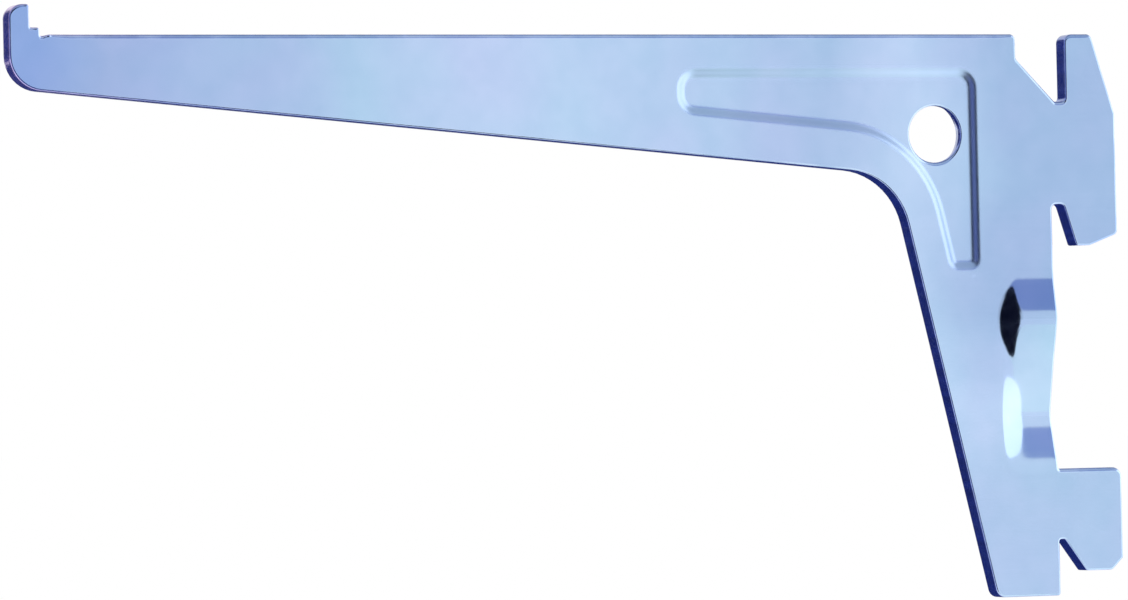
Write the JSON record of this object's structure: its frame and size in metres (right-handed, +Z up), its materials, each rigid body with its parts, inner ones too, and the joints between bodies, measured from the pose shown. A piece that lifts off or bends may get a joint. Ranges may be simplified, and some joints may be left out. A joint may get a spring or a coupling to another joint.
{
  "type": "slotted shelf bracket",
  "caption": "Stamped steel shelf bracket with a tapered arm, front nose, pressed stiffening panel, waved rear edge and hooks for a slotted wall rail.",
  "frame": {"origin": "the throat of the upper hook on the rail's front face, in the middle of the plate's thickness", "axes": "+X back into the rail, +Z up, Y across the plate; the panel is sunk in the -Y face"},
  "size_m": [0.1728, 0.0062, 0.0881],
  "materials": {
    "plated_steel": "bright zinc plated, satin, faint blue tint"
  },
  "bodies": {
    "root": {"bracket_plate": "plated_steel"}
  },
  "joints": []
}
